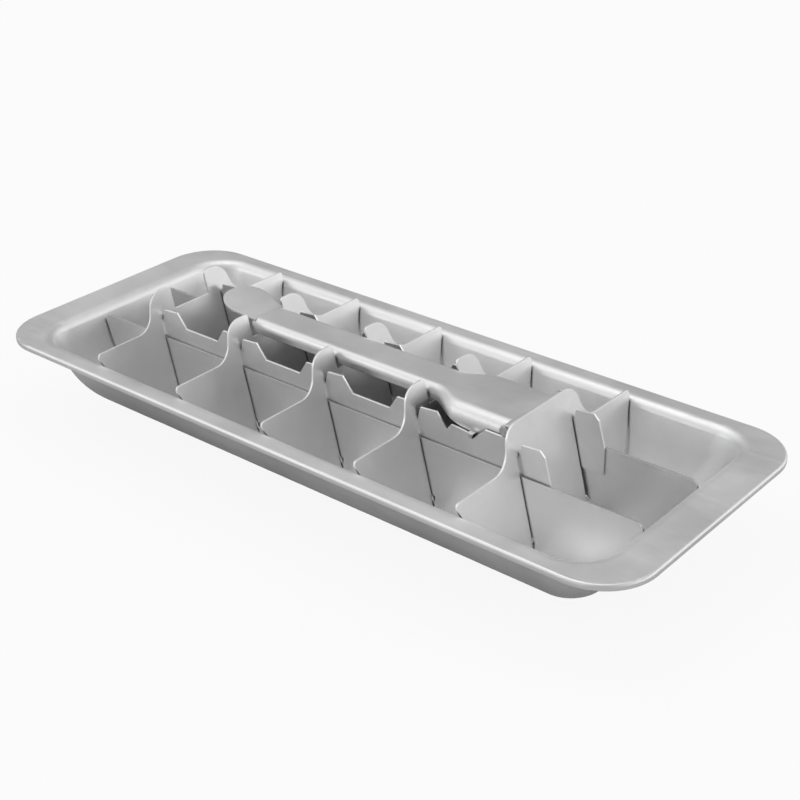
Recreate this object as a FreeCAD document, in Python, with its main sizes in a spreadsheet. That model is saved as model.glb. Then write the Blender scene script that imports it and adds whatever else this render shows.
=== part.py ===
import FreeCAD, Part
import math
import os
import re
import Sketcher

# Lever ice tray: a pressed pan with a lift-out grid. Two long dividers stand on the pan's
# floor. Five cross dividers straddle them, lean towards the lever's free end and turn about
# arrow-shaped holes near their feet. Two notched slide bars carry the cross dividers'
# bridges, and a sheet-metal lever on the last cross divider's hump sets them all upright.
# X runs along the tray to the hinge end, Y across it, Z up. The origin is the centre of the
# pan's underside. Heights marked "above rim" are counted from the rim's top face.
SIZES = {
    # pan
    "tray_length": 286.0,
    "tray_width": 115.4,
    "tray_depth": 32.0,
    "pan_sheet": 0.8,
    "side_flange": 7.7,
    "end_flange": 14.5,
    "rim_corner": 20.0,
    "rim_lip": 2.0,
    "rim_round": 1.0,
    "mouth_corner": 14.0,
    "mouth_bend": 4.5,
    "floor_corner": 4.0,
    "wall_draft": 22.8,
    "foot_flat": 0.8,
    # grid: common sizes
    "grid_sheet": 0.8,
    "wall_gap": 1.0,
    "foot_gap": 1.2,
    "seat_gap": 0.2,
    "slide_gap": 0.35,
    "spine_offset": 16.4,
    "first_cell": 37.66,
    "last_cell": 50.66,
    "lean_angle": 13.9,
    "pivot_height": 7.8,
    # long dividers: height of the top edge below the rim, and the holes the feet turn in
    "long_drop": 1.7,
    "long_corner": 3.0,
    "arrow_half": 1.7,
    "arrow_rise": 1.4,
    "arrow_fall": 3.9,
    "tab_width": 6.0,
    "tab_height": 1.5,
    # slide bars: heights above rim, places along X from each crossing
    "bar_drop": 12.0,
    "bar_lead": 6.4,
    "notch_floor": 5.0,
    "notch_spread": 1.0,
    "notch_lip": 9.2,
    "notch_slack": 0.1,
    "tooth_top": 9.9,
    "tooth_width": 8.5,
    "dip_floor": 4.4,
    "dip_start": 13.0,
    "dip_end": 30.0,
    "dip_stop": 33.5,
    "bar_tail": 13.4,
    "tail_chamfer": 2.1,
    "nose_low": 6.4,
    "nose_top": 7.8,
    "nose_run": 3.0,
    "heel_floor": 4.8,
    "bank_run": 1.9,
    "bank_top": 7.3,
    "valley_run": 1.0,
    "valley_lip": 1.2,
    "valley_climb": 5.2,
    "toe_gap": 0.6,
    # cross dividers: heights above rim, places across Y
    "wing_rise": 2.8,
    "wing_corner": 1.6,
    "hump_rise": 16.0,
    "hump_half": 19.0,
    "hump_foot": 23.0,
    "hump_round": 7.5,
    "hump_sweep": 8.0,
    "bay_half": 9.0,
    "bay_rise": 7.1,
    "bay_round": 1.5,
    "slot_bevel": 1.0,
    "bridge_gap": 0.15,
    "nub_reach": 0.6,
    "nub_half": 1.0,
    # lever and its hinge: heights above rim, places along X counted from the hinge
    "lever_sheet": 1.0,
    "lever_top": 14.0,
    "lever_bend": 3.0,
    "tail_bend": 5.0,
    "neck_half": 8.2,
    "neck_depth": 5.0,
    "flange_start": -122.4,
    "flange_slant": 2.0,
    "flange_root": 0.4,
    "paddle_inset": 0.8,
    "paddle_swell": -131.0,
    "paddle_tip": -140.5,
    "paddle_rise": 4.4,
    "paddle_half": 9.4,
    "paddle_round": 8.3,
    "paddle_blend": 8.0,
    "flare_start": -36.0,
    "flare_end": -22.0,
    "flare_gap": 0.3,
    "ear_start": -19.3,
    "ear_slant": 3.0,
    "ear_lip": 2.4,
    "ear_drop": 4.8,
    "ear_back": 2.6,
    "toe_place": -13.2,
    "toe_height": 5.3,
    "toe_half": 1.2,
    "toe_rise": 2.0,
    "heel_place": -23.9,
    "hinge_back": 6.54,
    "hinge_height": 12.4,
    "hinge_pin": 1.0,
    "pin_fit": 0.06,
    "knuckle_round": 1.75,
    "lug_round": 1.9,
    "pin_end": 0.05,
    "pin_head": 1.7,
    "pin_head_depth": 0.6,
}

doc = FreeCAD.newDocument("ice_tray")
sheet = doc.addObject("Spreadsheet::Sheet", "Sizes")
for row, (name, value) in enumerate(SIZES.items(), start=1):
    sheet.set("A%d" % row, name)
    sheet.set("B%d" % row, str(value))
    sheet.setAlias("B%d" % row, name)
doc.recompute()

WORD = re.compile(r"[a-z][a-z_0-9]*")


def bound(text):
    """An expression with each size's name pointed at its cell."""
    return WORD.sub(lambda hit: "Sizes." + hit[0] if hit[0] in SIZES else hit[0], str(text))


def number(text):
    """The value of an expression of sizes."""
    answer = sheet.evalExpression(bound(text))
    return float(getattr(answer, "Value", answer))


def over_rim(text):
    """Height of a place that is measured from the rim's top face."""
    return "(tray_depth + (%s))" % text


def new_body(label):
    body = doc.addObject("PartDesign::Body", label)
    body.Label = label
    return body


def new_sketch(body, name, plane, lift="0"):
    """A sketch on one of the body's own origin planes, moved along the plane's normal."""
    sketch = body.newObject("Sketcher::SketchObject", name)
    face = [part for part in body.Origin.OriginFeatures if part.Role == plane][0]
    sketch.AttachmentSupport = [(face, "")]
    sketch.MapMode = "FlatFace"
    sketch.setExpression(".AttachmentOffset.Base.z", bound(lift))
    return sketch


def tie(sketch, kind, places, text):
    """A dimension whose value is an expression of sizes."""
    index = sketch.addConstraint(Sketcher.Constraint(kind, *places, number(text)))
    sketch.setExpression("Constraints[%d]" % index, bound(text))


def corner_arc(before, corner, after, radius):
    """Tangent points, centre and turning sense of a rounded corner."""
    to_before = (before - corner).normalize()
    to_after = (after - corner).normalize()
    half = to_before.getAngle(to_after) / 2
    reach = radius / math.tan(half)
    middle = corner + (to_before + to_after).normalize() * (radius / math.sin(half))
    left = (to_before * -1).cross(to_after).z > 0
    return corner + to_before * reach, corner + to_after * reach, middle, left


def outline(sketch, corners):
    """A closed outline: each corner is (x, y) or (x, y, radius), as expressions."""
    count = len(corners)
    spots = [FreeCAD.Vector(number(c[0]), number(c[1]), 0) for c in corners]
    radii = [number(c[2]) if len(c) > 2 else 0 for c in corners]
    ends, arcs = [], {}
    for i, spot in enumerate(spots):
        if radii[i]:
            came, went, middle, left = corner_arc(spots[i - 1], spot, spots[(i + 1) % count], radii[i])
            first, last = (came, went) if left else (went, came)
            turn = [math.atan2((p - middle).y, (p - middle).x) for p in (first, last)]
            circle = Part.Circle(middle, FreeCAD.Vector(0, 0, 1), radii[i])
            arcs[i] = (sketch.addGeometry(Part.ArcOfCircle(circle, *turn), False), left)
            ends.append((came, went))
        else:
            ends.append((spot, spot))
    sides = []
    for i in range(count):
        line = Part.LineSegment(ends[i][1], ends[(i + 1) % count][0])
        sides.append(sketch.addGeometry(line, False))
    for i, corner in enumerate(corners):
        if i in arcs:
            arc, left = arcs[i]
            start, stop = (1, 2) if left else (2, 1)
            sketch.addConstraint(Sketcher.Constraint("Tangent", sides[i - 1], 2, arc, start))
            sketch.addConstraint(Sketcher.Constraint("Tangent", arc, stop, sides[i], 1))
            tie(sketch, "Radius", (arc,), corner[2])
            point = sketch.addGeometry(Part.Point(spots[i]), True)
            sketch.addConstraint(Sketcher.Constraint("PointOnObject", point, 1, sides[i - 1]))
            sketch.addConstraint(Sketcher.Constraint("PointOnObject", point, 1, sides[i]))
            held = (point, 1)
        else:
            sketch.addConstraint(Sketcher.Constraint("Coincident", sides[i - 1], 2, sides[i], 1))
            held = (sides[i], 1)
        tie(sketch, "DistanceX", (-1, 1) + held, corner[0])
        tie(sketch, "DistanceY", (-1, 1) + held, corner[1])


def round_box(sketch, half_length, half_width, radius):
    """A rounded rectangle centred on the origin."""
    corners = []
    for across, along in ((-1, -1), (1, -1), (1, 1), (-1, 1)):
        corners.append(("%d * (%s)" % (across, half_length), "%d * (%s)" % (along, half_width), radius))
    outline(sketch, corners)


def circle(sketch, x, y, radius):
    centre = FreeCAD.Vector(number(x), number(y), 0)
    ring = sketch.addGeometry(Part.Circle(centre, FreeCAD.Vector(0, 0, 1), number(radius)), False)
    tie(sketch, "DistanceX", (-1, 1, ring, 3), x)
    tie(sketch, "DistanceY", (-1, 1, ring, 3), y)
    tie(sketch, "Radius", (ring,), radius)


def pad(body, sketch, name, length):
    feature = body.newObject("PartDesign::Pad", name)
    feature.Profile = sketch
    feature.setExpression("Length", bound(length))
    return feature


def pocket(body, sketch, name, length, backwards=False):
    """A cut of a given depth, against the sketch's normal unless it runs backwards."""
    feature = body.newObject("PartDesign::Pocket", name)
    feature.Profile = sketch
    feature.setExpression("Length", bound(length))
    feature.Reversed = backwards
    return feature


# Section of the pan: a drafted wall, a round bend and a flat floor. The bend ends a little
# outside the dividers' slots. The same expressions shape every piece that fits in the pan.
MOUTH_WIDE = "(tray_width / 2 - side_flange)"
MOUTH_LONG = "(tray_length / 2 - end_flange)"
SLOT_OUT = "(spine_offset + grid_sheet / 2 + slide_gap)"
FOOT_REACH = "(%s - tan(wall_draft) * (tray_depth - pan_sheet) - %s - slot_bevel - foot_flat)" % (MOUTH_WIDE, SLOT_OUT)
FLOOR_BEND = "(%s / tan((90 - wall_draft) / 2))" % FOOT_REACH
BEND_INSET = "(tan(wall_draft) * (tray_depth - pan_sheet - %s) + %s / cos(wall_draft))" % (FLOOR_BEND, FLOOR_BEND)


def pan_loft(body, name, kind, wall):
    """The pan's outer or inner skin, lofted from the floor up the bend to the mouth."""
    sections = []
    steps = 4
    for i in range(steps + 2):
        if i <= steps:
            angle = "((90 - wall_draft) * %d / %d)" % (i, steps)
            height = "pan_sheet + %s - (%s + %s) * cos(%s)" % (FLOOR_BEND, FLOOR_BEND, wall, angle)
            inset = "(%s - (%s + %s) * sin(%s))" % (BEND_INSET, FLOOR_BEND, wall, angle)
        else:
            extra = "0" if kind == "PartDesign::AdditiveLoft" else "1"
            height = "tray_depth + %s" % extra
            inset = "(0 - (%s) / cos(wall_draft) - %s * tan(wall_draft))" % (wall, extra)
        share = "(1 - max(0; %s) / (%s))" % (inset, BEND_INSET)
        radius = "floor_corner + (mouth_corner - floor_corner) * %s + %s" % (share, wall)
        sketch = new_sketch(body, "%s_section_%d" % (name, i), "XY_Plane", height)
        round_box(sketch, "%s - %s" % (MOUTH_LONG, inset), "%s - %s" % (MOUTH_WIDE, inset), radius)
        sections.append(sketch)
    loft = body.newObject(kind, name)
    loft.Profile = sections[0]
    loft.Sections = sections[1:]
    return loft


def round_edges(body, name, radius, chosen):
    """Round the edges that a test picks from the body's present shape."""
    doc.recompute()
    before = body.Tip
    edges = enumerate(before.Shape.Edges, start=1)
    names = ["Edge%d" % i for i, edge in edges if chosen(edge.BoundBox)]
    fillet = body.newObject("PartDesign::Fillet", name)
    fillet.Base = (before, names)
    fillet.setExpression("Radius", bound(radius))
    return fillet


def mouth_edge(height, inside):
    """A test for level edges of the pan: those of its mouth, or those of its outer rim."""
    level = number(height)
    limit_x = number("(%s + tray_length / 2 - rim_round) / 2" % MOUTH_LONG)
    limit_y = number("(%s + tray_width / 2 - rim_round) / 2" % MOUTH_WIDE)

    def chosen(box):
        flat = abs(box.ZMin - level) < 1e-3 and abs(box.ZMax - level) < 1e-3
        within = max(-box.XMin, box.XMax) < limit_x and max(-box.YMin, box.YMax) < limit_y
        return flat and within == inside
    return chosen


def make_pan():
    body = new_body("ice_pan")
    rim = new_sketch(body, "rim_outline", "XY_Plane", "tray_depth - rim_lip")
    round_box(rim, "tray_length / 2", "tray_width / 2", "rim_corner")
    pad(body, rim, "rim_slab", "rim_lip")
    under = new_sketch(body, "under_rim", "XY_Plane", "tray_depth - rim_lip")
    round_box(under, "tray_length / 2 - pan_sheet", "tray_width / 2 - pan_sheet", "rim_corner - pan_sheet")
    pocket(body, under, "rolled_edge", "rim_lip - pan_sheet", backwards=True)
    pan_loft(body, "outer_skin", "PartDesign::AdditiveLoft", "pan_sheet")
    round_edges(body, "mouth_underside", "mouth_bend + pan_sheet", mouth_edge("tray_depth - pan_sheet", True))
    pan_loft(body, "inner_skin", "PartDesign::SubtractiveLoft", "0")
    round_edges(body, "mouth_round", "mouth_bend", mouth_edge("tray_depth", True))
    round_edges(body, "rim_bead", "rim_round", mouth_edge("tray_depth", False))
    return body


CROSS_PITCH = "((2 * %s - first_cell - last_cell) / 4)" % MOUTH_LONG


def crossing(index):
    """X of a cross divider's middle plane at the rim, counted from the middle one."""
    return "(first_cell - %s + %d * %s)" % (MOUTH_LONG, index + 2, CROSS_PITCH)


def lean_shift(height):
    """How far the leaning plate lies towards +X at a height above the rim."""
    return "(0 - tan(lean_angle) * (%s))" % height


PIVOT_SHIFT = "(tan(lean_angle) * (tray_depth - pivot_height))"
CROSSINGS = range(-2, 3)


def make_long_divider(label, far_face, shelf_face):
    """One long divider: low at both ends, with an arrow hole under each crossing."""
    body = new_body(label)
    plate = new_sketch(body, label + "_outline", "XZ_Plane", "0 - " + far_face)
    floor = "pan_sheet + seat_gap"
    top = over_rim("0 - long_drop")
    top_end = "(%s - wall_gap - tan(wall_draft) * long_drop)" % MOUTH_LONG
    low_end = "(%s - wall_gap - tan(wall_draft) * (tray_depth - %s))" % (MOUTH_LONG, floor)
    outline(plate, [
        ("0 - " + low_end, floor, FLOOR_BEND + " - wall_gap"),
        (low_end, floor, FLOOR_BEND + " - wall_gap"),
        (top_end, top, "long_corner"),
        ("0 - " + top_end, top, "long_corner"),
    ])
    pad(body, plate, label + "_plate", "grid_sheet")
    holes = new_sketch(body, label + "_arrows", "XZ_Plane", "0 - " + far_face)
    for index in CROSSINGS:
        middle = "(%s + %s)" % (crossing(index), PIVOT_SHIFT)
        up = "(pivot_height + arrow_rise)"
        down = "(pivot_height - arrow_fall)"
        lean_up = "tan(lean_angle) * arrow_rise"
        lean_down = "tan(lean_angle) * arrow_fall"
        outline(holes, [
            ("%s + %s" % (middle, lean_down), down),
            ("%s - %s + arrow_half" % (middle, lean_up), up),
            ("%s - %s - arrow_half" % (middle, lean_up), up),
        ])
    pocket(body, holes, label + "_holes", "grid_sheet", backwards=True)
    tabs = new_sketch(body, label + "_tabs", "XZ_Plane", "0 - " + shelf_face)
    for index in (-2, 0, 1):
        left = "(%s + %s / 2)" % (crossing(index), CROSS_PITCH)
        high = over_rim("0 - bar_drop - seat_gap")
        outline(tabs, [
            (left, "%s - tab_height" % high),
            ("%s + tab_width" % left, "%s - tab_height" % high),
            ("%s + tab_width" % left, high),
            (left, high),
        ])
    pad(body, tabs, label + "_shelf", "grid_sheet")
    return body


# Faces of the two layers, long divider and slide bar, across Y.
NEAR_DIVIDER = "(grid_sheet / 2 - spine_offset)"
NEAR_BAR = "(grid_sheet * 1.5 - spine_offset)"
FAR_DIVIDER = "(spine_offset + grid_sheet / 2)"
FAR_BAR = "(spine_offset - grid_sheet / 2)"


def make_long_dividers():
    near = make_long_divider("long_divider_near", NEAR_DIVIDER, NEAR_BAR)
    far = make_long_divider("long_divider_far", FAR_DIVIDER, FAR_BAR)
    return [near, far]


# X of the lever's hinge, and of places counted from it.
HINGE_X = "(%s - hinge_back)" % crossing(2)


def from_hinge(text):
    return "(%s + (%s))" % (HINGE_X, text)


def tooth_line(index):
    """The notch over one crossing, its tooth and the dip that follows."""
    notch = "(%s + %s)" % (crossing(index), lean_shift("notch_floor"))
    left = "(%s + %s)" % (crossing(index), lean_shift("tooth_top"))
    slack = "(grid_sheet / 2 / cos(lean_angle) + notch_slack)"
    line = [
        ("%s - %s" % (left, slack), over_rim("tooth_top")),
        ("%s - %s" % (notch, slack), over_rim("notch_floor")),
        ("%s + %s" % (notch, slack), over_rim("notch_floor")),
        ("%s + %s + notch_spread" % (notch, slack), over_rim("notch_lip")),
    ]
    if index < 1:
        line += [
            ("%s + tooth_width" % notch, over_rim("tooth_top")),
            ("%s + dip_start" % notch, over_rim("dip_floor")),
            ("%s + dip_end" % notch, over_rim("dip_floor")),
            ("%s + dip_stop" % notch, over_rim("tooth_top")),
        ]
    elif index == 1:
        line += [
            ("%s + tooth_width" % notch, over_rim("tooth_top")),
            (from_hinge("heel_place"), over_rim("heel_floor")),
            (from_hinge("heel_place + bank_run"), over_rim("bank_top")),
            (from_hinge("toe_place - valley_run"), over_rim("toe_height + valley_lip")),
            (from_hinge("toe_place"), over_rim("toe_height - toe_gap")),
            (from_hinge("toe_place + valley_climb"), over_rim("tooth_top")),
        ]
    else:
        line += [
            ("%s + tooth_width" % notch, over_rim("tooth_top")),
            ("%s + tooth_width + tail_chamfer" % notch, over_rim("tooth_top - tail_chamfer")),
            ("%s + bar_tail" % notch, over_rim("0 - long_drop")),
        ]
    return line


def make_slide_bar(label, upper_face):
    """One notched bar, flat against its long divider's inner face."""
    body = new_body(label)
    side = new_sketch(body, label + "_outline", "XZ_Plane", "0 - " + upper_face)
    start = "(%s + %s - bar_lead)" % (crossing(-2), lean_shift("notch_floor"))
    stop = "(%s + %s + bar_tail)" % (crossing(2), lean_shift("notch_floor"))
    corners = [
        (stop, over_rim("0 - bar_drop")),
        (start, over_rim("0 - bar_drop")),
        (start, over_rim("nose_low")),
        (start + " + nose_run", over_rim("nose_top")),
    ]
    for index in CROSSINGS:
        teeth = tooth_line(index)
        corners += teeth if index > -2 else [
            ("%s + %s - grid_sheet" % (crossing(-2), lean_shift("notch_lip")), over_rim("notch_lip")),
        ] + teeth[1:]
    outline(side, corners)
    pad(body, side, label + "_plate", "grid_sheet")
    return body


def make_slide_bars():
    near = make_slide_bar("slide_bar_near", NEAR_BAR)
    far = make_slide_bar("slide_bar_far", FAR_BAR)
    return [near, far]


def along(height):
    """Distance from the pivot, up the leaning plate, of a place at a height."""
    return "((%s) - pivot_height) / cos(lean_angle)" % height


def half_divider(side, open_bay):
    """Corners of one half of a cross divider, from the middle of the top to the floor."""
    def across(text):
        return "%d * (%s)" % (side, text)
    rise = along(over_rim("hump_rise"))
    wing = along(over_rim("wing_rise"))
    floor = "pan_sheet + foot_gap"
    mouth = "%s - wall_gap" % MOUTH_WIDE
    heel = "%s - tan(wall_draft) * (tray_depth - %s)" % (mouth, floor)
    slot_out = SLOT_OUT
    slot_in = "spine_offset - grid_sheet * 1.5 - slide_gap"
    bridge = along(over_rim("notch_floor + bridge_gap"))
    corners = []
    if open_bay:
        corners += [
            (across("bay_half"), along(over_rim("bay_rise"))),
            (across("bay_half"), rise, "bay_round"),
        ]
    corners += [
        (across("hump_half"), rise, "hump_round"),
        (across("hump_foot"), wing, "hump_sweep"),
        (across("%s + tan(wall_draft) * wing_rise" % mouth), wing, "wing_corner"),
        (across(heel), along(floor), FLOOR_BEND + " - wall_gap"),
        (across(slot_out + " + slot_bevel"), along(floor)),
        (across(slot_out), "arrow_rise + slot_bevel"),
        (across(slot_out), bridge),
        (across(slot_in), bridge),
        (across(slot_in), "nub_half"),
        (across(slot_in + " + grid_sheet + slide_gap + nub_reach"), "nub_half"),
        (across(slot_in + " + grid_sheet + slide_gap + nub_reach"), "0 - nub_half"),
        (across(slot_in), "0 - nub_half"),
        (across(slot_in), along(floor)),
    ]
    return corners


def make_cross_divider(number_name, index):
    """A plate with two wings, two humps and slots over the long dividers."""
    label = "cross_divider_%d" % number_name
    body = new_body(label)
    last = index == 2
    plate = new_sketch(body, label + "_outline", "YZ_Plane", "0 - grid_sheet / 2")
    right = half_divider(1, not last)
    left = half_divider(-1, not last)
    outline(plate, right + left[::-1])
    pad(body, plate, label + "_plate", "grid_sheet")
    if last:
        add_hinge_lugs(body)
    body.setExpression("Placement.Base.x", bound("%s + %s" % (crossing(index), PIVOT_SHIFT)))
    body.setExpression("Placement.Base.z", bound("pivot_height"))
    body.setExpression("Placement.Rotation.Angle", bound("lean_angle"))
    body.Placement.Rotation.Axis = FreeCAD.Vector(0, -1, 0)
    return body


# Place of the hinge in the leaning plate's own plane: out from it and up along it.
HINGE_DX = "(0 - hinge_back - %s)" % PIVOT_SHIFT
HINGE_DZ = "(tray_depth + hinge_height - pivot_height)"
HINGE_OUT = "(cos(lean_angle) * %s + sin(lean_angle) * %s)" % (HINGE_DX, HINGE_DZ)
HINGE_UP = "(cos(lean_angle) * %s - sin(lean_angle) * %s)" % (HINGE_DZ, HINGE_DX)
FLARE_HALF = "(spine_offset - grid_sheet * 1.5 - flare_gap)"


def add_hinge_lugs(body):
    """Two lugs bent back from the hump, one on each side of the lever's tail."""
    for side, place in (("near", "0 - %s - flare_gap" % FLARE_HALF), ("far", "%s + flare_gap + grid_sheet" % FLARE_HALF)):
        lug = new_sketch(body, side + "_lug_outline", "XZ_Plane", "0 - (%s)" % place)
        outline(lug, [
            ("%s - lug_round" % HINGE_OUT, "%s - lug_round" % HINGE_UP, "lug_round - 0.1"),
            ("grid_sheet / 4", "%s - lug_round" % HINGE_UP),
            ("grid_sheet / 4", "%s + lug_round" % HINGE_UP),
            ("%s - lug_round" % HINGE_OUT, "%s + lug_round" % HINGE_UP, "lug_round - 0.1"),
        ])
        pad(body, lug, side + "_lug", "grid_sheet")
    eye = new_sketch(body, "lug_eyes", "XZ_Plane", "0 - spine_offset - grid_sheet")
    circle(eye, HINGE_OUT, HINGE_UP, "hinge_pin + pin_fit")
    pocket(body, eye, "lug_holes", "2 * spine_offset + 2 * grid_sheet", backwards=True)


def channel(body, name, place, share, skin, foot):
    """A cross-section of the lever's channel; share runs from 0 at the neck to 1 at the flare."""
    half = "(neck_half + (%s - neck_half) * %s - %s)" % (FLARE_HALF, share, skin)
    bend = "(lever_bend + (tail_bend - lever_bend) * %s - %s)" % (share, skin)
    top = over_rim("lever_top - %s" % skin)
    section = new_sketch(body, name, "YZ_Plane", place)
    outline(section, [
        ("0 - " + half, foot),
        (half, foot),
        (half, top, bend),
        ("0 - " + half, top, bend),
    ])
    return section


def channel_run(body, name, skin, foot, spare):
    """The neck, the flare and the tail of the channel, as its outside or as the room in it."""
    outside = skin == "0"
    start = from_hinge("flange_start - %s" % spare)
    neck = channel(body, name + "_neck_section", start, "0", skin, foot)
    length = "flare_start - flange_start + %s" % spare
    if outside:
        pad(body, neck, name + "_neck", length)
    else:
        pocket(body, neck, name + "_neck", length, backwards=True)
    kind = "PartDesign::AdditiveLoft" if outside else "PartDesign::SubtractiveLoft"
    sections = []
    steps = 4
    for i in range(steps + 1):
        place = from_hinge("flare_start + (flare_end - flare_start) * %d / %d" % (i, steps))
        share = "((1 - cos(180 * %d / %d)) / 2)" % (i, steps)
        sections.append(channel(body, "%s_flare_section_%d" % (name, i), place, share, skin, foot))
    flare = body.newObject(kind, name + "_flare")
    flare.Profile = sections[0]
    flare.Sections = sections[1:]
    end = channel(body, name + "_tail_section", from_hinge("flare_end"), "1", skin, foot)
    length = "%s - flare_end" % spare
    if outside:
        pad(body, end, name + "_tail", length)
    else:
        pocket(body, end, name + "_tail", length, backwards=True)


def make_lever():
    """The lever: a paddle, a channel neck and a flared end with ears and a hinge knuckle."""
    body = new_body("release_lever")
    top = over_rim("lever_top")
    under = over_rim("lever_top - lever_sheet")
    skirt = over_rim("lever_top - neck_depth")
    bed = over_rim("0 - long_drop")
    side = new_sketch(body, "paddle_side", "XZ_Plane", "0 - paddle_half - lever_sheet")
    outline(side, [
        (from_hinge("paddle_tip"), top + " + paddle_rise - lever_sheet"),
        (from_hinge("flange_start"), under),
        (from_hinge("flange_start + lever_sheet"), under),
        (from_hinge("flange_start + lever_sheet"), top),
        (from_hinge("flange_start"), top),
        (from_hinge("paddle_tip"), top + " + paddle_rise"),
    ])
    pad(body, side, "paddle_plate", "2 * (paddle_half + lever_sheet)")
    trim = new_sketch(body, "paddle_plan", "XY_Plane", under + " - lever_sheet")
    far = "tray_length"
    outline(trim, [("0 - " + far, "0 - " + far), (far, "0 - " + far), (far, far), ("0 - " + far, far)])
    plan = []
    for way in (1, -1):
        half = [
            (from_hinge("flange_start + 2 * lever_sheet"), "%d * (neck_half - paddle_inset)" % way),
            (from_hinge("flange_start - paddle_inset"), "%d * (neck_half - paddle_inset)" % way),
            (from_hinge("paddle_swell"), "%d * paddle_half" % way, "paddle_blend"),
            (from_hinge("paddle_tip"), "%d * paddle_half" % way, "paddle_round"),
        ]
        plan += half if way == 1 else half[::-1]
    outline(trim, plan)
    pocket(body, trim, "paddle_outline", "paddle_rise + 3 * lever_sheet", backwards=True)
    channel_run(body, "outside", "0", bed, "0")
    channel_run(body, "room", "lever_sheet", bed + " - 1", "1")
    edge = new_sketch(body, "skirt_line", "XZ_Plane", "0 - spine_offset")
    outline(edge, [
        (from_hinge("flange_start - 1"), bed + " - 2"),
        (from_hinge("flange_start - 1"), under + " - flange_root"),
        (from_hinge("flange_start"), under + " - flange_root"),
        (from_hinge("flange_start + flange_slant"), skirt),
        (from_hinge("flare_end - ear_slant"), skirt, "ear_slant"),
        (from_hinge("ear_start"), over_rim("ear_drop + ear_lip")),
        (from_hinge("ear_start + ear_slant"), over_rim("ear_drop")),
        (from_hinge("0 - ear_back"), over_rim("ear_drop")),
        (from_hinge("0"), over_rim("hinge_height")),
        (from_hinge("1"), over_rim("hinge_height")),
        (from_hinge("1"), bed + " - 2"),
    ])
    pocket(body, edge, "skirt_cut", "2 * spine_offset", backwards=True)
    knuckle = new_sketch(body, "knuckle_circle", "XZ_Plane", "0 - %s" % FLARE_HALF)
    circle(knuckle, HINGE_X, over_rim("hinge_height"), "knuckle_round")
    pad(body, knuckle, "knuckle", "2 * %s" % FLARE_HALF)
    toe_end = "(spine_offset + grid_sheet)"
    for way, place in (("near", "0 - %s + lever_sheet" % FLARE_HALF), ("far", toe_end)):
        toe = new_sketch(body, way + "_toe_outline", "XZ_Plane", "0 - (%s)" % place)
        outline(toe, [
            (from_hinge("toe_place"), over_rim("toe_height")),
            (from_hinge("toe_place + toe_half"), over_rim("toe_height + toe_rise")),
            (from_hinge("toe_place - toe_half"), over_rim("toe_height + toe_rise")),
        ])
        pad(body, toe, way + "_toe", "%s - %s + lever_sheet" % (toe_end, FLARE_HALF))
    bore = new_sketch(body, "knuckle_bore", "XZ_Plane", "0 - spine_offset")
    circle(bore, HINGE_X, over_rim("hinge_height"), "hinge_pin + pin_fit")
    pocket(body, bore, "pin_bore", "2 * spine_offset", backwards=True)
    return body


def make_pin():
    """The hinge pin, riveted over at both lugs."""
    body = new_body("lever_hinge_pin")
    reach = "(%s + flare_gap + grid_sheet + pin_end)" % FLARE_HALF
    shank = new_sketch(body, "pin_shank_circle", "XZ_Plane", "0 - " + reach)
    circle(shank, HINGE_X, over_rim("hinge_height"), "hinge_pin")
    pad(body, shank, "pin_shank", "2 * " + reach)
    for way, place in (("near", "0 - " + reach), ("far", reach + " + pin_head_depth")):
        head = new_sketch(body, way + "_head_circle", "XZ_Plane", "0 - (%s)" % place)
        circle(head, HINGE_X, over_rim("hinge_height"), "pin_head")
        pad(body, head, way + "_head", "pin_head_depth")
    return body


def main():
    pieces = [make_pan()]
    pieces += make_long_dividers()
    pieces += make_slide_bars()
    for name, index in enumerate(CROSSINGS, start=1):
        pieces.append(make_cross_divider(name, index))
    pieces += [make_lever(), make_pin()]
    doc.recompute()
    for item in doc.Objects:
        wrong = [state for state in item.State if state in ("Invalid", "Error")]
        if wrong:
            raise RuntimeError("%s did not build: %s" % (item.Label, wrong))
    for piece in pieces:
        shape = piece.Shape
        if shape.isNull() or not shape.isValid() or len(shape.Solids) != 1:
            raise RuntimeError("%s is not one valid solid (%d)" % (piece.Label, len(shape.Solids)))
    os.makedirs("parts", exist_ok=True)
    for piece in pieces:
        piece.Shape.exportStep("parts/%s.step" % piece.Label)
        print("%-20s %9.1f mm3" % (piece.Label, piece.Shape.Volume))


main()
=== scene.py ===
# %% [markdown]
# A lever ice tray: a pressed steel pan with a lift-out grid of thin steel dividers and a long
# lever on top. Every piece is sheet metal, so the imported solids already have the right shape,
# and this lesson is about making plain sheet steel look like steel: rolled grain, soft
# mottling, cut edges with a painted highlight, painted shade in the seams, and a studio that
# gives it something to reflect.

# %% Load the frame
import bpy
import math
from mathutils import Matrix, Vector


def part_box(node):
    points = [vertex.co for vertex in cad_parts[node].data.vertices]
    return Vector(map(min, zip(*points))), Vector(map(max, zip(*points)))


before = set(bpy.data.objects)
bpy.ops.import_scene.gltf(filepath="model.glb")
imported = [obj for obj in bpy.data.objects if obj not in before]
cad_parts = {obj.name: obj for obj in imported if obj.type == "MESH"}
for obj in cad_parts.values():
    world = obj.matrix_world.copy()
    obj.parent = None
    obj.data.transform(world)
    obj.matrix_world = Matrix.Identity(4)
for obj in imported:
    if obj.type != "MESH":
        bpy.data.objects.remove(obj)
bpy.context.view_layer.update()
MM = 0.001
print("nodes:", sorted(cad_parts))

# %% [markdown]
# The photograph's camera was worked out from the rim's four corners and the dividers, so its
# values are angles and distances about a point on the rim plane. A long lens keeps the tray
# nearly in parallel perspective. The camera's own axes are built first and then used as the
# columns of its matrix, which leaves no room for a wrong rotation order.

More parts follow.
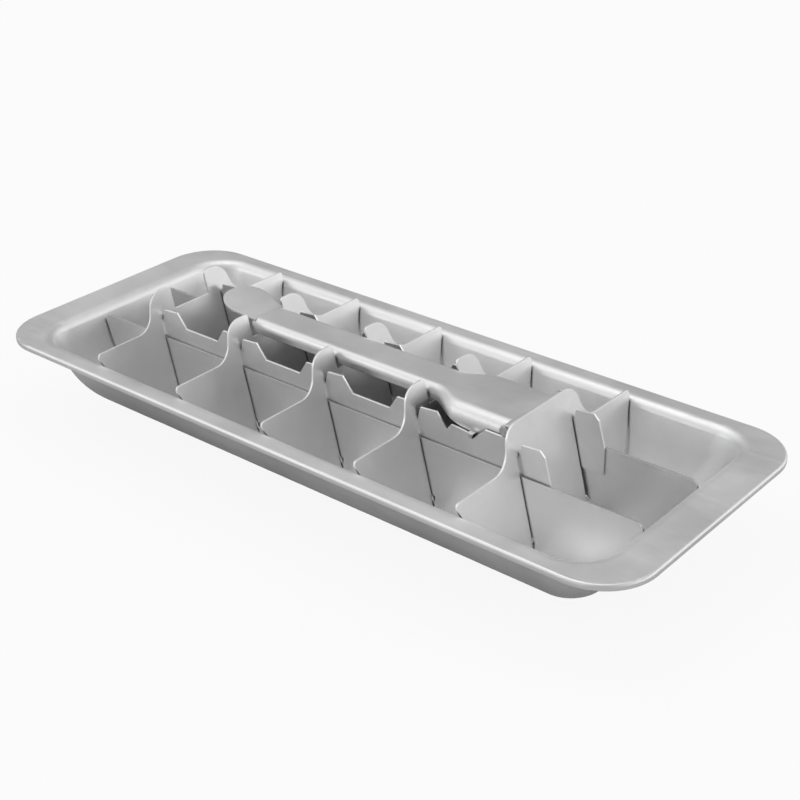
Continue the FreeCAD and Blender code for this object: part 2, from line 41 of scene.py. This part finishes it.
# %% Camera
RIM_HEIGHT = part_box("ice_pan")[1][2]
AZIMUTH = math.radians(40.229)
ELEVATION = math.radians(28.089)
ROLL = math.radians(-0.895)
LENS_MM = 70.16
SENSOR_MM = 36
DISTANCE = 561.87 * MM
AIM_RIGHT = 10.489 * MM
AIM_UP = -5.799 * MM


def camera_axes(azimuth, elevation, roll):
    """Right, up and back of a camera that looks at the tray from its hinge end."""
    back = Vector((math.sin(azimuth) * math.cos(elevation),
                   -math.cos(azimuth) * math.cos(elevation),
                   math.sin(elevation)))
    right = Vector((0, 0, 1)).cross(back).normalized()
    up = back.cross(right)
    turned_right = right * math.cos(roll) + up * math.sin(roll)
    turned_up = up * math.cos(roll) - right * math.sin(roll)
    return turned_right, turned_up, back


right, up, back = camera_axes(AZIMUTH, ELEVATION, ROLL)
rim_centre = Vector((0, 0, RIM_HEIGHT))
eye = right * AIM_RIGHT + up * AIM_UP + back * DISTANCE + rim_centre
camera_data = bpy.data.cameras.new("photo_camera")
camera_data.lens = LENS_MM
camera_data.sensor_width = SENSOR_MM
camera = bpy.data.objects.new("photo_camera", camera_data)
bpy.context.scene.collection.objects.link(camera)
camera.matrix_world = Matrix((
    (right.x, up.x, back.x, eye.x),
    (right.y, up.y, back.y, eye.y),
    (right.z, up.z, back.z, eye.z),
    (0, 0, 0, 1)))
bpy.context.scene.camera = camera
print("camera at", [round(v, 3) for v in eye])

# %% [markdown]
# Materials are made from nodes, so three small helpers keep the node code readable: one adds
# a node and sets its inputs, one joins two sockets, and one starts a node group whose sockets
# have names. A group holds an effect that several finishes share, with its strengths as
# inputs, so each finish can turn it up or down.

# %% Node helpers


def add(tree, kind, inputs=None, **settings):
    """A node with its properties and plain input values set."""
    node = tree.nodes.new(kind)
    for name, value in settings.items():
        setattr(node, name, value)
    for name, value in (inputs or {}).items():
        node.inputs[name].default_value = value
    return node


def join(tree, source, target):
    tree.links.new(source, target)


def start_group(name, inputs, outputs):
    """A shader node group with float or vector inputs and float or colour outputs."""
    tree = bpy.data.node_groups.new(name, "ShaderNodeTree")
    for label, kind, value in inputs:
        socket = tree.interface.new_socket(label, in_out="INPUT", socket_type=kind)
        socket.default_value = value
    for label, kind in outputs:
        tree.interface.new_socket(label, in_out="OUTPUT", socket_type=kind)
    return tree, tree.nodes.new("NodeGroupInput"), tree.nodes.new("NodeGroupOutput")


def math_node(tree, operation, first, second, clamp=False):
    """A maths node between two sockets or numbers."""
    node = add(tree, "ShaderNodeMath", operation=operation, use_clamp=clamp)
    for slot, value in enumerate((first, second)):
        if isinstance(value, (int, float)):
            node.inputs[slot].default_value = value
        else:
            join(tree, value, node.inputs[slot])
    return node.outputs[0]


# %% [markdown]
# Cold-rolled sheet has fine lines along its rolling direction and a soft mottling from
# handling. Noise that is stretched along one axis gives the lines; the same noise unstretched
# and much larger gives the mottling. The group reads Object coordinates, so the grain stays
# on the piece when it moves, and its scale is a real one, in lines to the metre.

# %% Rolled grain group
grain_group, g_in, g_out = start_group(
    "rolled_grain",
    [("Stretch", "NodeSocketVector", (60.0, 1600.0, 1600.0)),
     ("Mottle scale", "NodeSocketFloat", 28.0)],
    [("Grain", "NodeSocketFloat"), ("Mottle", "NodeSocketFloat")])
place = add(grain_group, "ShaderNodeTexCoord")
stretched = add(grain_group, "ShaderNodeVectorMath", operation="MULTIPLY")
join(grain_group, place.outputs["Object"], stretched.inputs[0])
join(grain_group, g_in.outputs["Stretch"], stretched.inputs[1])
lines = add(grain_group, "ShaderNodeTexNoise", {"Scale": 1.0, "Detail": 3.0, "Roughness": 0.55})
join(grain_group, stretched.outputs[0], lines.inputs["Vector"])
clouds = add(grain_group, "ShaderNodeTexNoise",
             {"Detail": 4.0, "Roughness": 0.6, "Distortion": 0.4})
join(grain_group, place.outputs["Object"], clouds.inputs["Vector"])
join(grain_group, g_in.outputs["Mottle scale"], clouds.inputs["Scale"])
join(grain_group, lines.outputs["Fac"], g_out.inputs["Grain"])
join(grain_group, clouds.outputs["Fac"], g_out.inputs["Mottle"])
print("group:", grain_group.name)

# %% [markdown]
# A sheared edge is fresh metal, smoother than the rolled face, and catches the lamps as a
# thin white line. Here that line is a painted highlight, a paler colour on the edge faces.
# An edge face is one whose normal lies across the sheet's own normal, so the dot product of
# the two is near nothing there. That finds every cut edge of a flat plate at once, slots and
# notches included.

# %% Cut edge group
EDGE_GAIN = 1.6
edge_group, e_in, e_out = start_group(
    "cut_edge",
    [("Sheet normal", "NodeSocketVector", (0.0, 1.0, 0.0))],
    [("Mask", "NodeSocketFloat")])
facing = add(edge_group, "ShaderNodeNewGeometry")
turned = add(edge_group, "ShaderNodeVectorTransform", vector_type="NORMAL",
             convert_from="WORLD", convert_to="OBJECT")
join(edge_group, facing.outputs["Normal"], turned.inputs[0])
dot = add(edge_group, "ShaderNodeVectorMath", operation="DOT_PRODUCT")
join(edge_group, turned.outputs[0], dot.inputs[0])
join(edge_group, e_in.outputs["Sheet normal"], dot.inputs[1])
flatness = math_node(edge_group, "ABSOLUTE", dot.outputs["Value"], 0.0)
mask = math_node(edge_group, "SUBTRACT", 1.0, flatness)
strong_mask = math_node(edge_group, "MULTIPLY", mask, EDGE_GAIN, clamp=True)
join(edge_group, strong_mask, e_out.inputs["Mask"])
print("group:", edge_group.name)

# %% [markdown]
# Hands and ice leave fine random scratches on used kitchen steel. Three thin bands of a
# distorted wave, each turned another way, read as scratches when only their crests are kept.

# %% Scratch group
SCRATCH_TURNS = (0.35, 1.4, 2.5)
CREST_FROM = 0.985
CREST_GAIN = 60.0
scratch_group, s_in, s_out = start_group(
    "fine_scratches",
    [("Scale", "NodeSocketFloat", 90.0), ("Amount", "NodeSocketFloat", 0.5)],
    [("Scratch", "NodeSocketFloat")])
spot = add(scratch_group, "ShaderNodeTexCoord")
total = None
for turn in SCRATCH_TURNS:
    spin = add(scratch_group, "ShaderNodeMapping",
               {"Rotation": (turn * 0.6, turn, turn * 1.3)})
    join(scratch_group, spot.outputs["Object"], spin.inputs["Vector"])
    wave = add(scratch_group, "ShaderNodeTexWave",
               {"Distortion": 9.0, "Detail": 2.0, "Detail Scale": 0.6})
    join(scratch_group, spin.outputs[0], wave.inputs["Vector"])
    join(scratch_group, s_in.outputs["Scale"], wave.inputs["Scale"])
    crest = math_node(scratch_group, "SUBTRACT", wave.outputs["Fac"], CREST_FROM)
    sharp = math_node(scratch_group, "MULTIPLY", crest, CREST_GAIN, clamp=True)
    total = sharp if total is None else math_node(scratch_group, "MAXIMUM", total, sharp)
faded = math_node(scratch_group, "MULTIPLY", total, s_in.outputs["Amount"])
join(scratch_group, faded, s_out.inputs["Scratch"])
print("group:", scratch_group.name)

# %% [markdown]
# One recipe makes every finish: a metallic Principled shader whose colour drifts with the
# mottling, whose roughness follows grain, mottling and scratches, and whose bump is the grain.
# What differs from piece to piece is given as values: the tint, how rough it is, which way
# the sheet was rolled, and which way its flat side faces. A sheared or folded edge is never
# knife-sharp, so a bevel node bends the normals for a fraction of a millimetre round every
# edge. That, with the cut edges' painted highlight, draws the thin bright outline along the
# teeth and the wings. Where two sheets cross or lie together, the gap lies in shade: an ambient
# occlusion node that looks only a millimetre or so around finds those seams and slots and
# darkens their colour, which is painted shade.

# %% Steel finish recipe
DARK_DRIFT, LIGHT_DRIFT = 0.89, 1.05
GRAIN_SHARE, MOTTLE_SHARE, SCRATCH_SHARE = 0.22, 0.14, 0.12
ROUGH_OFFSET = 0.18
RELIEF_HEIGHT = 0.06 * MM
# painted shade in seams and slots: how far the occlusion looks and the darkest factor it paints
PAINTED_SHADE_REACH = 1.4 * MM
PAINTED_SHADE_DARKEST = 0.3
NEARBY_SAMPLES = 6


def placed_group(tree, group, values):
    node = tree.nodes.new("ShaderNodeGroup")
    node.node_tree = group
    for name, value in values.items():
        node.inputs[name].default_value = value
    return node


def steel(name, tint, rough, stretch, sheet=None, bump=0.25, mottle=28.0, scratch=0.4,
          softened=0.3, painted_edge_tone=0.98):
    """Sheet steel with grain, mottling, scratches, painted seam shade and painted cut-edge
    tone.

    stretch sets the grain's lines to the metre along each axis, sheet is the flat side's
    normal, softened is the edges' radius in mm, and painted_edge_tone is the cut edge's
    painted colour: pale for a painted highlight, grey for painted shade.
    """
    material = bpy.data.materials.new(name)
    material.use_nodes = True
    tree = material.node_tree
    shader = tree.nodes["Principled BSDF"]
    shader.inputs["Metallic"].default_value = 1.0
    grain = placed_group(tree, grain_group, {"Stretch": stretch, "Mottle scale": mottle})
    marks = placed_group(tree, scratch_group, {"Amount": scratch})
    dark = tuple(channel * DARK_DRIFT for channel in tint) + (1.0,)
    light = tuple(min(1.0, channel * LIGHT_DRIFT) for channel in tint) + (1.0,)
    ramp = add(tree, "ShaderNodeMix", data_type="RGBA")
    ramp.inputs["A"].default_value = dark
    ramp.inputs["B"].default_value = light
    spread = add(tree, "ShaderNodeMapRange", {"From Min": 0.3, "From Max": 0.7})
    join(tree, grain.outputs["Mottle"], spread.inputs["Value"])
    join(tree, spread.outputs["Result"], ramp.inputs["Factor"])
    colour = ramp.outputs["Result"]
    lined = math_node(tree, "MULTIPLY", grain.outputs["Grain"], GRAIN_SHARE)
    cloudy = math_node(tree, "MULTIPLY", spread.outputs["Result"], MOTTLE_SHARE)
    base = math_node(tree, "ADD", math_node(tree, "ADD", lined, cloudy), rough - ROUGH_OFFSET)
    scuffed = math_node(tree, "MULTIPLY", marks.outputs["Scratch"], SCRATCH_SHARE)
    rough_value = math_node(tree, "ADD", base, scuffed)
    # cut edges of flat plates: colour mixed towards a painted edge tone, a painted highlight
    # when pale and painted shade when grey
    if sheet is not None:
        edge = placed_group(tree, edge_group, {"Sheet normal": sheet})
        painted_edge_mix = add(tree, "ShaderNodeMix", data_type="RGBA")
        painted_edge_mix.inputs["B"].default_value = (painted_edge_tone, painted_edge_tone, painted_edge_tone, 1.0)
        join(tree, edge.outputs["Mask"], painted_edge_mix.inputs["Factor"])
        join(tree, colour, painted_edge_mix.inputs["A"])
        colour = painted_edge_mix.outputs["Result"]
    # painted shade: the ambient occlusion darkens the colour in seams and slots
    painted_shade_occlusion = add(tree, "ShaderNodeAmbientOcclusion", {"Distance": PAINTED_SHADE_REACH},
                  samples=NEARBY_SAMPLES)
    painted_shade_factor = add(tree, "ShaderNodeMapRange",
                   {"From Min": 0.45, "From Max": 0.8, "To Min": PAINTED_SHADE_DARKEST, "To Max": 1.0})
    join(tree, painted_shade_occlusion.outputs["AO"], painted_shade_factor.inputs["Value"])
    colour_with_painted_shade = add(tree, "ShaderNodeVectorMath", operation="SCALE")
    join(tree, colour, colour_with_painted_shade.inputs[0])
    join(tree, painted_shade_factor.outputs["Result"], colour_with_painted_shade.inputs["Scale"])
    join(tree, colour_with_painted_shade.outputs[0], shader.inputs["Base Color"])
    join(tree, rough_value, shader.inputs["Roughness"])
    relief = add(tree, "ShaderNodeBump", {"Strength": bump, "Distance": RELIEF_HEIGHT})
    rounded = add(tree, "ShaderNodeBevel", {"Radius": softened * MM},
                  samples=NEARBY_SAMPLES)
    join(tree, rounded.outputs["Normal"], relief.inputs["Normal"])
    height = math_node(tree, "SUBTRACT", grain.outputs["Grain"], marks.outputs["Scratch"])
    join(tree, height, relief.inputs["Height"])
    join(tree, relief.outputs["Normal"], shader.inputs["Normal"])
    print("finish:", name)
    return material


# %% [markdown]
# The pan is one deep-drawn sheet. Drawing stretches the surface, so its grain is coarser and
# its mottling larger than on flat stock, and it has no cut edge on show because the rim is
# turned down.

# %% Pan finish
pan_steel = steel("pan_steel", (0.84, 0.84, 0.842), 0.40, (70.0, 900.0, 900.0),
                  mottle=18.0, bump=0.2, scratch=0.25)

# %% [markdown]
# The long dividers and slide bars are flat strip, rolled along the tray, with their flat side
# across it. The cross dividers were sheared from the same strip but stand across it and lean,
# so both the direction of their grain and the normal of their flat side turn with them. The
# long dividers' top edges lie low between other sheets, in shade, so their cut edges are
# painted grey as painted shade rather than pale as a painted highlight.

# %% Grid finishes
LEAN = math.radians(13.9)
ACROSS = (0.0, 1.0, 0.0)
DIVIDER_NORMAL = (math.cos(LEAN), 0.0, math.sin(LEAN))
# the long dividers' cut edges get a grey painted edge tone, which is painted shade
long_steel = steel("long_divider_steel", (1.0, 1.0, 1.0), 0.42, (60.0, 60.0, 1900.0),
                   ACROSS, softened=0.12, painted_edge_tone=0.55)
bar_steel = steel("slide_bar_steel", (0.94, 0.94, 0.942), 0.40, (60.0, 60.0, 2100.0), ACROSS)
cross_steel = steel("cross_divider_steel", (1.0, 1.0, 1.0), 0.40, (1900.0, 70.0, 1900.0),
                    DIVIDER_NORMAL)

# %% [markdown]
# The lever is handled most. Its face is brushed along its length, and thumbs have polished
# it, so it is the smoothest of the sheets. The pin is drawn wire and only shows as two heads.

# %% Lever finishes
lever_steel = steel("lever_steel", (0.82, 0.82, 0.822), 0.38, (45.0, 1700.0, 1700.0),
                    bump=0.3, mottle=22.0, scratch=0.55)
pin_steel = steel("pin_steel", (0.72, 0.72, 0.725), 0.32, (900.0, 200.0, 900.0), bump=0.15)

# %% [markdown]
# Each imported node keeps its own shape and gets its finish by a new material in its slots.

# %% Give every node its finish
FINISHES = {"ice_pan": pan_steel, "long_divider": long_steel, "slide_bar": bar_steel,
            "cross_divider": cross_steel, "release_lever": lever_steel,
            "lever_hinge_pin": pin_steel}
for node_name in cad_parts:
    finish = next(FINISHES[start] for start in FINISHES if node_name.startswith(start))
    node = bpy.data.objects[node_name]
    node.data.materials.clear()
    node.data.materials.append(finish)
print("dressed:", len(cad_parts), "nodes")

# %% [markdown]
# Steel shows its surroundings more than itself. The floor and world are white to the camera,
# but the metal sees a pale grey floor and a studio of even grey with three soft reflectors.
# One in front on the left whitens every bend that faces this way, one behind on the right is
# what the leaning dividers mirror, and a narrow one high on the left reaches the long
# dividers by way of the pan's floor and walls.

# %% Floor and world
FLOOR_REACH = 6.0
FLOOR_WHITENESS = 0.88
STUDIO_GREY = 0.41

floor_mesh = bpy.data.meshes.new("floor")
floor_corners = [(x * FLOOR_REACH, y * FLOOR_REACH, 0)
                 for x, y in ((-1, -1), (1, -1), (1, 1), (-1, 1))]
floor_mesh.from_pydata(floor_corners, [], [(0, 1, 2, 3)])
floor = bpy.data.objects.new("floor", floor_mesh)
bpy.context.scene.collection.objects.link(floor)
floor_paint = bpy.data.materials.new("studio_floor")
floor_paint.use_nodes = True
tree = floor_paint.node_tree
matt = tree.nodes["Principled BSDF"]
matt.inputs["Base Color"].default_value = (0.6, 0.6, 0.6, 1.0)
matt.inputs["Roughness"].default_value = 0.9
glow = add(tree, "ShaderNodeEmission", {"Color": (1.0, 1.0, 1.0, 1.0), "Strength": 1.03})
rays = add(tree, "ShaderNodeLightPath")
blend = add(tree, "ShaderNodeMixShader")
seen_white = math_node(tree, "MULTIPLY", rays.outputs["Is Camera Ray"], FLOOR_WHITENESS)
join(tree, seen_white, blend.inputs[0])
join(tree, matt.outputs[0], blend.inputs[1])
join(tree, glow.outputs[0], blend.inputs[2])
join(tree, blend.outputs[0], tree.nodes["Material Output"].inputs["Surface"])
floor_mesh.materials.append(floor_paint)

world = bpy.data.worlds.new("studio")
bpy.context.scene.world = world
world.use_nodes = True
tree = world.node_tree
backdrop = tree.nodes["Background"]
backdrop.inputs["Color"].default_value = (1.0, 1.0, 1.0, 1.0)
direction = add(tree, "ShaderNodeTexCoord")


def glow_from(way, start, gain):
    """Extra light from one side of the studio, fading out from its middle."""
    towards = add(tree, "ShaderNodeVectorMath", operation="DOT_PRODUCT")
    join(tree, direction.outputs["Generated"], towards.inputs[0])
    towards.inputs[1].default_value = Vector(way).normalized()
    fade = add(tree, "ShaderNodeMapRange", {"From Min": start, "From Max": 1.0, "To Max": gain},
               interpolation_type="SMOOTHSTEP")
    join(tree, towards.outputs["Value"], fade.inputs["Value"])
    return fade.outputs["Result"]


front_left = glow_from((-0.52, -0.66, 0.54), 0.5, 0.3)
right_back = glow_from((0.78, 0.62, 0.05), 0.3, 0.8)
top_left = glow_from((-0.5, 0.05, 0.86), 0.78, 0.55)
sky = math_node(tree, "ADD", math_node(tree, "ADD", front_left, right_back), top_left)
sky = math_node(tree, "ADD", sky, STUDIO_GREY)
rays = add(tree, "ShaderNodeLightPath")
level = add(tree, "ShaderNodeMix", data_type="FLOAT")
join(tree, rays.outputs["Is Camera Ray"], level.inputs["Factor"])
join(tree, sky, level.inputs["A"])
level.inputs["B"].default_value = 1.0
join(tree, level.outputs["Result"], backdrop.inputs["Strength"])
print("stage ready")

# %% [markdown]
# Two large soft lamps add direction: one overhead, which lays a soft shadow on the floor, and
# one in front on the left, which puts the white line on the rim's edge and the cut edges.

# %% Lamps
LAMP_TARGET = Vector((0, 0, 0.03))


def soft_lamp(name, spot, size, power):
    """A rectangular softbox at spot, in metres, that faces the tray."""
    lamp_data = bpy.data.lights.new(name, "AREA")
    lamp_data.shape = "RECTANGLE"
    lamp_data.size, lamp_data.size_y = size
    lamp_data.energy = power
    lamp = bpy.data.objects.new(name, lamp_data)
    bpy.context.scene.collection.objects.link(lamp)
    lamp.location = spot
    lamp.rotation_euler = (LAMP_TARGET - Vector(spot)).to_track_quat("-Z", "Y").to_euler()


soft_lamp("key_softbox", (-0.1, 0.1, 1.2), (0.9, 0.9), 1.5)
soft_lamp("left_softbox", (-0.8, -0.8, 0.6), (0.7, 0.5), 0.9)
bpy.context.scene.view_settings.view_transform = "Standard"
print("lamps:", len(bpy.data.lights))
